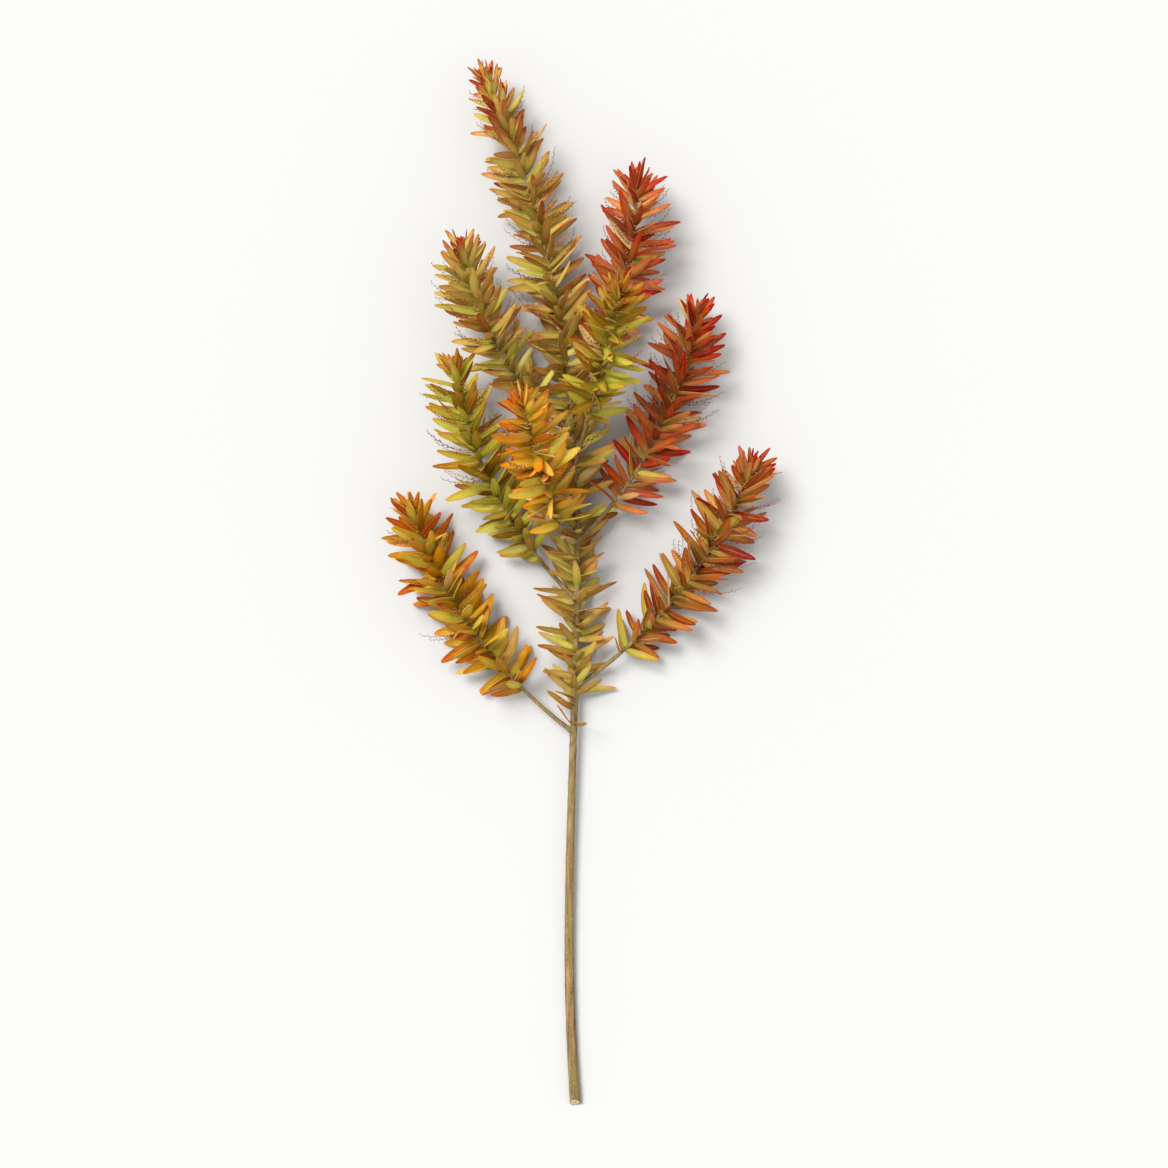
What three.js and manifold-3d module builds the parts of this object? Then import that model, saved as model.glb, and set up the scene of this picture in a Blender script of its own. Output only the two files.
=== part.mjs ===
// Acacia stem: one cut branch of a narrow-leaved wattle, lying on a table as it is laid down.
// Millimetres, +Z up. The cut end is at -Y and the tip at +Y. The origin is the centre of the
// outline, on the table. A bare woody stem carries one leafy axis, and that carries eight shoots.
import * as THREE from "three";
import { mergeVertices } from "three/addons/utils/BufferGeometryUtils.js";
import Module from "manifold-3d";

const wasm = await Module();
wasm.setup();

// The branch: its height from cut end to tip, the length of its bare wood, and its thickness
const branchLength = 772;
const woodLength = 262;
const buttRadius = 4;
const woodEndRadius = 2.8;
const axisTipRadius = 0.7;
const seatGap = 0.3;
const restDepth = 0.25;

// The line of the whole branch: it rests on its cut end, and its own leaves hold its top up
const axis = new THREE.CubicBezierCurve3(
  new THREE.Vector3(0, 0, buttRadius - restDepth),
  new THREE.Vector3(-22, 300, 2),
  new THREE.Vector3(48, 520, 28),
  new THREE.Vector3(-66, branchLength, 30),
);

// Bark of the bare stem: faint ridges, leaf scars, and a slanting cut
const ridges = { count: 3, depth: 0.035, pitch: 38 };
const scars = { count: 13, from: 16, radius: 1.25, sunk: 0.4 };
const slantCut = { degrees: 36, reach: 3.4 };

// Phyllodes, the flat blades that a wattle has for leaves
const leafLength = 35;
const leafWidth = 8;
const leafThickness = 1;
const bladeSides = 3;
const bladeRows = 3;
const goldenTurn = THREE.MathUtils.degToRad(137.508);

// How leaves stand: their angle off the twig, how far they close on each other at its tip, and
// how much angle, roll and arch differ. How they grow: shorter at the twig's foot and at its tip.
const leafStance = { offTwig: 62, closing: 34, angleSpread: 14, roll: 1.24, archSpread: 0.14 };
const leafGrowth = { atFoot: 0.22, atTip: 0.5, lengthSpread: 0.2, widthSpread: 0.16, narrowing: 0.4 };

// Room that a leaf keeps: its swollen size beside other shoots, the share of its length that may
// touch the leaves beside it, and how near the table its tip is taken as lying on it
const leafRoom = { width: 1.25, length: 1.04, crowdedShare: 0.3, nearTable: 0.4, sinking: 0.01 };

// Flower-bud strings: a thread of a stalk with round buds on it
const budRadius = 1;
const budStalkRadius = 0.4;
const budsOnString = 5;
const budString = { length: 26, first: 0.9, spacing: 0.16, firstBud: 0.5, offStalk: 0.6 };

// Side shoots in the order in which they leave the axis. from: distance from the cut end.
// side: -1 left, 1 right. lean: angle off the axis where it leaves. turn: how far it bends back.
// reach: its length. bare: length without leaves. middle, tip: heights of its bend and its tip.
const sideShoots = [
  { name: "side_shoot_1", from: 284, side: -1, lean: 55, turn: 34, reach: 214, bare: 42,
    base: 1.6, middle: 20, tip: 25, leaves: 60, strings: 1, colour: 0xb9862f },
  { name: "side_shoot_2", from: 318, side: 1, lean: 54, turn: 34, reach: 220, bare: 40,
    base: 1.65, middle: 21, tip: 29, leaves: 62, strings: 1, colour: 0x9a5a26 },
  { name: "side_shoot_3", from: 384, side: -1, lean: 47, turn: 37, reach: 204, bare: 34,
    base: 1.6, middle: 27, tip: 42, leaves: 60, strings: 1, colour: 0xa8742c },
  { name: "side_shoot_4", from: 428, side: 1, lean: 47, turn: 38, reach: 204, bare: 32,
    base: 1.6, middle: 22, tip: 27, leaves: 60, strings: 1, colour: 0x93431f },
  { name: "side_shoot_5", from: 508, side: -1, lean: 47, turn: 40, reach: 168, bare: 28,
    base: 1.4, middle: 31, tip: 48, leaves: 52, strings: 1, colour: 0xa56a2a },
  { name: "side_shoot_6", from: 548, side: 1, lean: 46, turn: 41, reach: 168, bare: 26,
    base: 1.4, middle: 26, tip: 35, leaves: 52, strings: 2, colour: 0x8d3a22 },
  { name: "rising_shoot_1", from: 404, side: -1, lean: 21, turn: 6, reach: 128, bare: 36,
    base: 1.4, middle: 60, tip: 104, leaves: 44, strings: 1, colour: 0xbd9330 },
  { name: "rising_shoot_2", from: 486, side: 1, lean: 20, turn: 4, reach: 124, bare: 36,
    base: 1.4, middle: 62, tip: 102, leaves: 44, strings: 1, colour: 0xb57f2c },
];
const leafyAxis = {
  name: "leafy_axis", side: -1, phase: 0, bare: 10, leaves: 164, strings: 3, crowding: 1.55,
  colour: 0xa06a2a,
};
sideShoots.forEach((shoot, i) => Object.assign(shoot, { phase: 1.7 * (i + 1), crowding: 1.25 }));

const barkColour = 0x6f5a34;
const collar = { length: 6.5, spread: 0.4, sides: 6 };
const twigTipRadius = 0.6;
const sliver = 0.03;

// A repeatable draw between 0 and 1
function seededDraw(seed) {
  let state = seed;
  return () => {
    state = (state + 0x6d2b79f5) | 0;
    let mixed = Math.imul(state ^ (state >>> 15), 1 | state);
    mixed = (mixed + Math.imul(mixed ^ (mixed >>> 7), 61 | mixed)) ^ mixed;
    return ((mixed ^ (mixed >>> 14)) >>> 0) / 4294967296;
  };
}

function solidOf(geometry) {
  geometry.deleteAttribute("normal");
  geometry.deleteAttribute("uv");
  const merged = mergeVertices(geometry, 1e-5);
  return new wasm.Manifold(
    new wasm.Mesh({
      numProp: 3,
      vertProperties: new Float32Array(merged.attributes.position.array),
      triVerts: new Uint32Array(merged.index.array),
    }),
  );
}

// Pieces fused into one body: loose scraps are dropped, sealed hollows filled, slivers cleared
function fused(pieces) {
  const bodies = wasm.Manifold.union(pieces).decompose();
  const largest = bodies.reduce((best, body) => (body.volume() > best.volume() ? body : best));
  return largest.asOriginal().simplify(sliver);
}

function meshOf(solid, name, color, roughness) {
  const { vertProperties, triVerts } = solid.getMesh();
  const geometry = new THREE.BufferGeometry()
    .setAttribute("position", new THREE.BufferAttribute(vertProperties, 3))
    .setIndex(new THREE.BufferAttribute(triVerts, 1));
  geometry.computeVertexNormals();
  const material = new THREE.MeshStandardMaterial({ color, roughness, metalness: 0 });
  const mesh = new THREE.Mesh(geometry, material);
  mesh.name = name;
  return mesh;
}

// Where a line is at a distance, its heading, and the two directions square to it
function stationAt(line, distance) {
  const share = THREE.MathUtils.clamp(distance / line.getLength(), 0, 1);
  const point = line.getPointAt(share);
  const heading = line.getTangentAt(share);
  const across = new THREE.Vector3().crossVectors(heading, new THREE.Vector3(0, 0, 1)).normalize();
  const over = new THREE.Vector3().crossVectors(across, heading);
  return { point, heading, across, over };
}

// A round rod bent along a line from one distance to another
function rodAlong(line, from, to, radiusAt, sides, rows) {
  const rod = new THREE.CylinderGeometry(1, 1, 1, sides, rows);
  const place = rod.attributes.position;
  for (let i = 0; i < place.count; i += 1) {
    const distance = THREE.MathUtils.lerp(from, to, place.getY(i) + 0.5);
    const { point, across, over } = stationAt(line, distance);
    const radius = radiusAt(distance, Math.atan2(place.getZ(i), place.getX(i)));
    point.addScaledVector(across, place.getX(i) * radius);
    point.addScaledVector(over, place.getZ(i) * radius);
    place.setXYZ(i, point.x, point.y, point.z);
  }
  return solidOf(rod);
}

// A blade from a three-sided ball: a flat face towards `face`, and a keel, its midrib, behind it
function blade({ root, along, face, length, width, arch }) {
  const ball = new THREE.SphereGeometry(1, bladeSides, bladeRows);
  const place = ball.attributes.position;
  const sideways = new THREE.Vector3().crossVectors(face, along);
  const edge = Math.sin(Math.PI / bladeSides);
  const keelToFace = 1.5;
  const rootNarrowing = 0.5;
  const fullest = Math.sin(Math.PI / bladeRows);
  for (let i = 0; i < place.count; i += 1) {
    const share = (1 + place.getY(i)) / 2;
    const fullness = (1 - rootNarrowing * (1 - share)) / fullest;
    const point = root.clone().addScaledVector(along, length * share);
    point.addScaledVector(face, arch * length * share * share);
    point.addScaledVector(sideways, (place.getZ(i) / edge) * (width / 2) * fullness);
    point.addScaledVector(face, (place.getX(i) * leafThickness * fullness) / keelToFace);
    place.setXYZ(i, point.x, point.y, point.z);
  }
  return solidOf(ball);
}

// A leaf that would go below the table is swung up until its tip lies on it
function restOnTable(root, along, heading, length) {
  const climb = -root.z / length;
  const flat = new THREE.Vector3(along.x, along.y, 0).addScaledVector(heading, 0.25).setZ(0);
  flat.setLength(Math.sqrt(1 - climb * climb));
  along.set(flat.x, flat.y, climb);
}

// The leaf that a shoot carries at a share of its leafy length
function leafAt(line, shoot, share, index, draw) {
  const leafy = line.getLength() - shoot.bare;
  const distance = shoot.bare + leafy * (1 - (1 - share) ** shoot.crowding);
  const { point: root, heading, across, over } = stationAt(line, distance);
  const around = index * goldenTurn + shoot.phase;
  const stance = leafStance.offTwig - leafStance.closing * share ** 3;
  const tilt = THREE.MathUtils.degToRad(stance + leafStance.angleSpread * (draw() - 0.5));
  const outwards = across.clone().multiplyScalar(Math.cos(around)).addScaledVector(over, Math.sin(around));
  const along = heading.clone().multiplyScalar(Math.cos(tilt)).addScaledVector(outwards, Math.sin(tilt));
  const growth = 1 - leafGrowth.atFoot * (1 - share) ** 3 - leafGrowth.atTip * share ** 5;
  const length = leafLength * growth * (1 + leafGrowth.lengthSpread * (draw() - 0.5));
  const fullness = 1 - leafGrowth.narrowing * (1 - growth);
  const width = leafWidth * fullness * (1 + leafGrowth.widthSpread * (draw() - 0.5));
  const face = new THREE.Vector3().crossVectors(heading, outwards);
  face.applyAxisAngle(along, leafStance.roll * (draw() - 0.5));
  const arch = leafStance.archSpread * (draw() - 0.5);
  const clearOfTable = root.z + length * along.z > leafRoom.nearTable;
  if (clearOfTable) return { root, along, face, length, width, arch, heading };
  restOnTable(root, along, heading, length);
  const upwards = new THREE.Vector3(0, 0, 1);
  const lying = upwards.clone().addScaledVector(along, -upwards.dot(along)).normalize();
  return { root, along, face: lying, length, width, arch: 0, heading };
}

// The same leaf folded towards its twig, and swung round the twig
function movedLeaf(leaf, { fold, swing }) {
  const hinge = new THREE.Vector3().crossVectors(leaf.along, leaf.heading).normalize();
  const turned = (v) =>
    v.clone()
      .applyAxisAngle(hinge, THREE.MathUtils.degToRad(fold))
      .applyAxisAngle(leaf.heading, THREE.MathUtils.degToRad(swing));
  return { ...leaf, along: turned(leaf.along), face: turned(leaf.face) };
}

function crossesAny(solid, others) {
  const mine = solid.boundingBox();
  return others.some((other) => {
    const theirs = other.boundingBox();
    const apart = [0, 1, 2].some((k) => mine.min[k] > theirs.max[k] || mine.max[k] < theirs.min[k]);
    return !apart && !solid.intersect(other).isEmpty();
  });
}

// The outer part of a leaf, beyond where the leaves of a shoot crowd together
function outerPart(leaf) {
  const inner = leafRoom.crowdedShare * leaf.length;
  const root = leaf.root.clone().addScaledVector(leaf.along, inner);
  return blade({ ...leaf, root, length: leaf.length - inner });
}

// Leaves, each moved clear of its neighbours and of the other shoots, or left out
function leavesOf(line, shoot, others, draw) {
  const moves = [
    { fold: 0, swing: 0 }, { fold: 12, swing: 0 }, { fold: 0, swing: 14 }, { fold: 0, swing: -14 },
    { fold: 22, swing: 10 }, { fold: 22, swing: -10 }, { fold: 34, swing: 0 },
  ];
  const kept = [];
  const outerParts = [];
  for (let i = 0; i < shoot.leaves; i += 1) {
    const leaf = leafAt(line, shoot, (i + 0.5) / shoot.leaves, i, draw);
    for (const move of moves) {
      const tried = movedLeaf(leaf, move);
      const made = blade(tried);
      const outer = outerPart(tried);
      const roomy = { width: tried.width * leafRoom.width, length: tried.length * leafRoom.length };
      const swollen = blade({ ...tried, ...roomy });
      const sunk = made.boundingBox().min[2] < -leafRoom.sinking;
      if (!sunk && !crossesAny(swollen, others) && !crossesAny(outer, outerParts)) {
        kept.push(made);
        outerParts.push(outer);
        break;
      }
    }
  }
  return kept;
}

// A string of flower buds that stands out beside the leaves near the shoot's end
function stringOfBuds(line, shoot, index, draw) {
  const leafy = line.getLength() - shoot.bare;
  const distance = shoot.bare + leafy * (budString.first - budString.spacing * index);
  const { point: foot, heading, across, over } = stationAt(line, distance);
  const around = 0.35 + 0.8 * index;
  const outwards = across.clone().multiplyScalar(shoot.side * Math.cos(around));
  outwards.addScaledVector(over, Math.sin(around));
  const length = budString.length * (0.9 + 0.2 * draw());
  const bend = foot.clone().addScaledVector(outwards, 0.8 * length).addScaledVector(heading, 0.1 * length);
  const end = foot.clone().addScaledVector(outwards, 1.05 * length).addScaledVector(heading, 0.75 * length);
  const stalk = new THREE.QuadraticBezierCurve3(foot, bend, end);
  const pieces = [rodAlong(stalk, 0, stalk.getLength(), () => budStalkRadius, 3, 4)];
  for (let i = 0; i < budsOnString; i += 1) {
    const share = THREE.MathUtils.lerp(budString.firstBud, 1, i / (budsOnString - 1));
    const { point: centre, across: beside, over: above } = stationAt(stalk, stalk.getLength() * share);
    const turned = i * goldenTurn;
    centre.addScaledVector(beside, Math.cos(turned) * budRadius * budString.offStalk);
    centre.addScaledVector(above, Math.sin(turned) * budRadius * budString.offStalk);
    const bud = new THREE.OctahedronGeometry(budRadius).rotateX(draw() * Math.PI);
    pieces.push(solidOf(bud.translate(centre.x, centre.y, centre.z)));
  }
  return wasm.Manifold.union(pieces);
}

function budStringsOf(line, shoot, others, draw) {
  const made = Array.from({ length: shoot.strings }, (_, i) => stringOfBuds(line, shoot, i, draw));
  return made.filter((one) => one.boundingBox().min[2] > 0 && !crossesAny(one, others));
}

// The line of a side shoot: it leaves the axis at an angle and bends back towards its heading
function shootLine(shoot) {
  const start = stationAt(axis, shoot.from);
  const flat = start.heading.clone().setZ(0).normalize();
  const up = new THREE.Vector3(0, 0, 1);
  const headed = (degrees) =>
    flat.clone().applyAxisAngle(up, THREE.MathUtils.degToRad(-shoot.side * degrees));
  const half = shoot.reach / 2;
  const middle = start.point.clone().addScaledVector(headed(shoot.lean), half).setZ(shoot.middle);
  const end = middle.clone().addScaledVector(headed(shoot.lean - shoot.turn), half).setZ(shoot.tip);
  return new THREE.QuadraticBezierCurve3(start.point, middle, end);
}

// The axis beyond the wood, as a line of its own
function axisBeyondWood() {
  const steps = 40;
  const length = axis.getLength();
  const points = Array.from({ length: steps + 1 }, (_, i) =>
    axis.getPointAt(THREE.MathUtils.lerp(woodLength + seatGap, length, i / steps) / length),
  );
  return new THREE.CatmullRomCurve3(points);
}

// A collar: the swelling of the axis that a side shoot grows from
function collarFor(shoot) {
  const radiusAt = (distance) => shoot.base + collar.spread * (1 - distance / collar.length);
  return rodAlong(shootLine(shoot), 0, collar.length, radiusAt, collar.sides, 1);
}

function twigFor(shoot) {
  const line = shootLine(shoot);
  const length = line.getLength();
  const radiusAt = (distance) => THREE.MathUtils.lerp(shoot.base, twigTipRadius, distance / length);
  return rodAlong(line, collar.length + seatGap, length, radiusAt, 5, 9);
}

function leafyAxisTwig(line) {
  const length = line.getLength();
  const radiusAt = (distance) => THREE.MathUtils.lerp(woodEndRadius, axisTipRadius, distance / length);
  return rodAlong(line, 0, length, radiusAt, 6, 24);
}

function woodRadius(distance) {
  return THREE.MathUtils.lerp(buttRadius, woodEndRadius, distance / woodLength);
}

// The scars that fallen leaves have left, in the same spiral as the leaves
function leafScars() {
  const made = [];
  for (let i = 0; i < scars.count; i += 1) {
    const distance = scars.from + (i * (woodLength - 2 * scars.from)) / (scars.count - 1);
    const { point: centre, across, over } = stationAt(axis, distance);
    const reach = woodRadius(distance) - scars.sunk;
    centre.addScaledVector(across, Math.cos(i * goldenTurn) * reach);
    centre.addScaledVector(over, Math.sin(i * goldenTurn) * reach);
    const scar = new THREE.SphereGeometry(scars.radius, 5, 3).scale(1, 1.5, 1);
    const clearOfTable = centre.z > 1.6 * scars.radius;
    if (clearOfTable) made.push(solidOf(scar.translate(centre.x, centre.y, centre.z)));
  }
  return made;
}

// The bare stem, with its cut end slanting and a small flat where it rests on the table
function woodyStem() {
  const ridge = (distance, around) =>
    1 + ridges.depth * Math.cos(ridges.count * around + distance / ridges.pitch);
  const radiusAt = (distance, around) => woodRadius(distance) * ridge(distance, around);
  const wood = rodAlong(axis, 0, woodLength, radiusAt, 10, 22);
  const slant = THREE.MathUtils.degToRad(slantCut.degrees);
  const blockSize = 30;
  const waste = new THREE.BoxGeometry(blockSize, blockSize, blockSize).rotateX(-slant);
  waste.translate(0, slantCut.reach - blockSize / 2 / Math.cos(slant), buttRadius);
  const table = new THREE.BoxGeometry(200, 2 * branchLength, 20).translate(0, branchLength / 2, -10);
  const whole = wasm.Manifold.union([wood, ...leafScars()]);
  return fused([whole.subtract(solidOf(waste)).subtract(solidOf(table))]);
}

const leafyLine = axisBeyondWood();
const stem = woodyStem();
const twigs = sideShoots.map(twigFor);
const axisOthers = [stem, ...twigs];
const axisPieces = [
  leafyAxisTwig(leafyLine),
  ...sideShoots.map(collarFor),
  ...leavesOf(leafyLine, leafyAxis, axisOthers, seededDraw(11)),
  ...budStringsOf(leafyLine, leafyAxis, axisOthers, seededDraw(12)),
];
const finished = [stem, fused(axisPieces)];

const branch = new THREE.Group();
branch.add(meshOf(stem, "main_stem", barkColour, 0.75));
branch.add(meshOf(finished[1], leafyAxis.name, leafyAxis.colour, 0.6));
sideShoots.forEach((shoot, i) => {
  const line = shootLine(shoot);
  const others = [...finished, ...twigs.slice(i + 1)];
  const draw = seededDraw(31 + i);
  const leaves = leavesOf(line, shoot, others, draw);
  const buds = budStringsOf(line, shoot, others, draw);
  const solid = fused([twigs[i], ...leaves, ...buds]);
  finished.push(solid);
  branch.add(meshOf(solid, shoot.name, shoot.colour, 0.6));
});

// The origin goes to the centre of the outline, on the table
const centre = new THREE.Box3().setFromObject(branch).getCenter(new THREE.Vector3());
branch.children.forEach((mesh) => mesh.position.set(-centre.x, -centre.y, 0));

export default branch;
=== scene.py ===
import math
import random

import bmesh
import bpy
import numpy as np
from mathutils import Matrix, Vector, noise


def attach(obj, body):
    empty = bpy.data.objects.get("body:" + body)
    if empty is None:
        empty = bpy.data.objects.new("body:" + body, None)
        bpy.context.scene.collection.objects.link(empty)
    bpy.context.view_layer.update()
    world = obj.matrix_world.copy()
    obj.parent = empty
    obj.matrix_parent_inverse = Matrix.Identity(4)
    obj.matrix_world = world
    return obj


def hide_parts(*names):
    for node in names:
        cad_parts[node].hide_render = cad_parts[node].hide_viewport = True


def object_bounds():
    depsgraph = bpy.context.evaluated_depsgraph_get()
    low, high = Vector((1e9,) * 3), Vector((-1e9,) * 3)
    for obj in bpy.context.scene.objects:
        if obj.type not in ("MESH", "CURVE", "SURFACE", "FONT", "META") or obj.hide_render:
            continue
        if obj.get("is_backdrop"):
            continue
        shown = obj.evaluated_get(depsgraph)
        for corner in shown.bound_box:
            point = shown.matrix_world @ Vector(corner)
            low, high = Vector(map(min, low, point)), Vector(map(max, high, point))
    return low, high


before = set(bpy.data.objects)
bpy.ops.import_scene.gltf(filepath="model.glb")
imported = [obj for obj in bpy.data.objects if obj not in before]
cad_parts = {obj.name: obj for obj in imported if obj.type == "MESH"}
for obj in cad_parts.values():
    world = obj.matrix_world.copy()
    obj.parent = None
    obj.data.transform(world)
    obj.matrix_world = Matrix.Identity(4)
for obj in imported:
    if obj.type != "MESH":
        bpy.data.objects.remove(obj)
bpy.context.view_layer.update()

mm = 0.001
goldenTurn = math.radians(137.508)
near = 0.01          # points this close, as a share of a shape, belong together
lineSteps = 400      # points on a curve

# The branch as measured. wood: its bare length. bends, tipAcross, tipHeight: where its line runs.
# restDepth: how far its underside is pressed flat. seatGap: between the wood and the leafy line.
branch = dict(length=772, wood=262, bends=((-22, 300, 2), (48, 520, 28)), tipAcross=-66, tipHeight=30,
              buttRadius=4.0, woodEndRadius=2.8, tipRadius=0.7, restDepth=0.25, seatGap=0.3,
              leafySteps=300)

# Shoots in the order in which they leave the axis. start: distance from the cut end. side: -1 left,
# 1 right. lean: angle off the axis. turn: how far it bends back. reach: its length. bare: length
# without leaves. base: radius of its foot. middle, tip: heights of its bend and its tip. wide: the
# width of its leaves. strings: of buds. palette: its colours, where they aren't those of its slot.
shoots = [
    dict(name="side_shoot_1", slot="leaves_amber", start=284, side=-1, lean=55, turn=34, reach=214,
         bare=42, base=1.6, middle=20, tip=25, leaves=148, wide=1.14, strings=15),
    dict(name="side_shoot_2", slot="leaves_rust", start=318, side=1, lean=54, turn=34, reach=220,
         bare=40, base=1.65, middle=21, tip=29, leaves=138, wide=0.94, strings=24),
    dict(name="side_shoot_3", slot="leaves_gold", start=384, side=-1, lean=47, turn=37, reach=204,
         bare=34, base=1.6, middle=27, tip=42, leaves=126, wide=1.0, strings=24),
    dict(name="side_shoot_4", slot="leaves_red", start=428, side=1, lean=47, turn=38, reach=204,
         bare=32, base=1.6, middle=22, tip=27, leaves=136, wide=0.88, strings=27),
    dict(name="side_shoot_5", slot="leaves_orange", start=508, side=-1, lean=47, turn=40, reach=168,
         bare=28, base=1.4, middle=31, tip=48, leaves=110, wide=0.94, strings=24),
    dict(name="side_shoot_6", slot="leaves_red", start=548, side=1, lean=46, turn=41, reach=168,
         bare=26, base=1.4, middle=26, tip=35, leaves=116, wide=0.86, strings=30),
    dict(name="rising_shoot_1", slot="leaves_amber", start=404, side=-1, lean=21, turn=6, reach=128,
         bare=36, base=1.4, middle=60, tip=104, leaves=116, wide=1.1, strings=12,
         palette="leaves_bright"),
    dict(name="rising_shoot_2", slot="leaves_gold", start=486, side=1, lean=20, turn=4, reach=124,
         bare=36, base=1.4, middle=62, tip=102, leaves=104, wide=1.0, strings=15),
]
leafyAxis = dict(name="leafy_axis", slot="leaves_orange", bare=10, leaves=376, wide=0.92, strings=63,
                 phase=0, young=62, seed=90)
# phase: where the spiral of leaves starts. young: how far from the tip the leaves are small.
for index, shoot in enumerate(shoots):
    shoot.update(phase=1.7 * (index + 1), young=24, seed=101 + index)


# Small helpers

def deselectAll():
    bpy.ops.object.select_all(action="DESELECT")


def pick(model):
    deselectAll()
    model.select_set(True)
    bpy.context.view_layer.objects.active = model


def toEdit(model):
    pick(model)
    bpy.ops.object.mode_set(mode="EDIT")
    bpy.ops.mesh.select_mode(type="VERT")
    bpy.ops.mesh.select_all(action="DESELECT")


def toObject():
    bpy.ops.object.mode_set(mode="OBJECT")


# In edit mode: selecting, and what is done to the points that are selected
def selectAll():
    bpy.ops.mesh.select_all(action="SELECT")


def move(x, y, z):
    bpy.ops.transform.translate(value=(x, y, z))


def resize(sizes, centre=(0, 0, 0)):
    bpy.ops.transform.resize(value=sizes, center_override=centre)


# Selects the points whose place passes a test
def selectPoints(model, test):
    bpy.ops.mesh.select_all(action="DESELECT")
    shape = bmesh.from_edit_mesh(model.data)
    for point in shape.verts:
        if test(point.co):
            point.select_set(True)
    shape.select_flush(True)
    bmesh.update_edit_mesh(model.data)


def spotsOf(model):
    spots = np.empty(len(model.data.vertices) * 3)
    model.data.vertices.foreach_get("co", spots)
    return spots.reshape(-1, 3)


def setSpots(model, spots):
    model.data.vertices.foreach_set("co", np.ascontiguousarray(spots, dtype=np.float32).ravel())
    model.data.update()


def copyOf(model):
    twin = model.copy()
    twin.data = model.data.copy()
    bpy.context.scene.collection.objects.link(twin)
    return twin


def joined(pieces, name):
    deselectAll()
    for piece in pieces:
        piece.select_set(True)
    bpy.context.view_layer.objects.active = pieces[0]
    if len(pieces) > 1:
        bpy.ops.object.join()
    whole = bpy.context.view_layer.objects.active
    whole.name = name
    whole.data.name = name
    return whole


def smoothed(model, degrees):
    pick(model)
    bpy.ops.object.shade_smooth_by_angle(angle=math.radians(degrees))


# Four numbers at every point of a piece, for its material to read
def setTone(model, name, tones):
    kept = model.data.attributes.new(name, "FLOAT_COLOR", "POINT")
    tones = np.broadcast_to(tones, (len(model.data.vertices), 4))
    kept.data.foreach_set("color", np.ascontiguousarray(tones, dtype=np.float32).ravel())


def between(first, second, share):
    return first + (second - first) * share


# A chance amount to both sides of nothing, or more to one side
def strayed(draw, amount, middle=0.5):
    return amount * (draw.random() - middle)


# Lines: a list of points close together, read by distance

class Line:
    def __init__(self, points):
        self.points = np.array(points, float)
        steps = np.linalg.norm(np.diff(self.points, axis=0), axis=1)
        self.marks = np.concatenate([[0.0], np.cumsum(steps)])
        self.length = self.marks[-1]
        self.headings = np.gradient(self.points, self.marks, axis=0)

    # The point at a distance, the heading there, and the two directions square to it
    def at(self, distance):
        def read(rows):
            return np.stack([np.interp(distance, self.marks, rows[:, k]) for k in range(3)], -1)
        point = read(self.points)
        heading = read(self.headings)
        heading /= np.linalg.norm(heading, axis=-1, keepdims=True)
        across = np.cross(heading, (0.0, 0.0, 1.0))
        across /= np.linalg.norm(across, axis=-1, keepdims=True)
        return point, heading, across, np.cross(across, heading)

    # The point and the heading at a distance, and the direction outwards at an angle round the line
    def outFrom(self, distance, around):
        point, heading, across, over = self.at(distance)
        return point, heading, across * np.cos(around)[..., None] + over * np.sin(around)[..., None]


def bezierLine(*controls):
    share = np.linspace(0, 1, lineSteps)[:, None]
    level = [np.array(control, float) * np.ones_like(share) for control in controls]
    while len(level) > 1:
        level = [between(a, b, share) for a, b in zip(level, level[1:])]
    return Line(level[0])


axisLine = bezierLine((0, 0, branch["buttRadius"] - branch["restDepth"]), *branch["bends"],
                      (branch["tipAcross"], branch["length"], branch["tipHeight"]))


# The axis from a distance to its tip, as a line of its own
def axisFrom(start, steps=lineSteps):
    return Line(axisLine.at(np.linspace(start, axisLine.length, steps))[0])


leafyLine = axisFrom(branch["wood"] + branch["seatGap"], branch["leafySteps"])


def shootLine(shoot):
    start, heading = axisLine.at(shoot["start"])[:2]
    flat = Vector((heading[0], heading[1], 0)).normalized()

    def headed(degrees):
        return np.array(Matrix.Rotation(math.radians(-shoot["side"] * degrees), 3, "Z") @ flat)

    half = shoot["reach"] / 2
    middle = start + headed(shoot["lean"]) * half
    middle[2] = shoot["middle"]
    end = middle + headed(shoot["lean"] - shoot["turn"]) * half
    end[2] = shoot["tip"]
    return bezierLine(start, middle, end)


# Where the branch's zero point is in the shared frame: the wood's last ring stands at its end
def branchPlace():
    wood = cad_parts["main_stem"].data.vertices
    spots = np.unique(np.round([tuple(v.co) for v in wood], 6), axis=0)
    ringDepth = 6 * mm
    ring = spots[spots[:, 1] > spots[:, 1].max() - ringDepth]
    return ring.mean(axis=0) - axisLine.at(branch["wood"])[0] * mm


zeroPoint = branchPlace()


def toFrame(spots):
    return np.asarray(spots) * mm + zeroPoint


# Rods: a disc extruded row by row, then laid along a line

def unitRod(sides, rows):
    deselectAll()
    bpy.ops.mesh.primitive_circle_add(vertices=sides, radius=1, fill_type="NGON")
    model = bpy.context.object
    toEdit(model)
    selectAll()
    for _ in range(rows):
        bpy.ops.mesh.extrude_region_move(TRANSFORM_OT_translate={"value": (0, 0, 1 / rows)})
    selectAll()
    bpy.ops.mesh.normals_make_consistent(inside=False)
    toObject()
    return model


# radiusAt gives the radius at a distance and an angle round the rod. The rod's share along is kept.
def laidRod(model, line, start, end, radiusAt):
    rod = copyOf(model)
    spots = spotsOf(rod)
    distance = between(start, end, np.clip(spots[:, 2], 0, 1))
    around = np.arctan2(spots[:, 0], spots[:, 1])
    point, _, outwards = line.outFrom(distance, around)
    setSpots(rod, toFrame(point + outwards * radiusAt(distance, around)[:, None]))
    tones = np.zeros((len(spots), 4))
    tones[:, 1] = distance / line.length
    setTone(rod, "rodTone", tones)
    return rod


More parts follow.
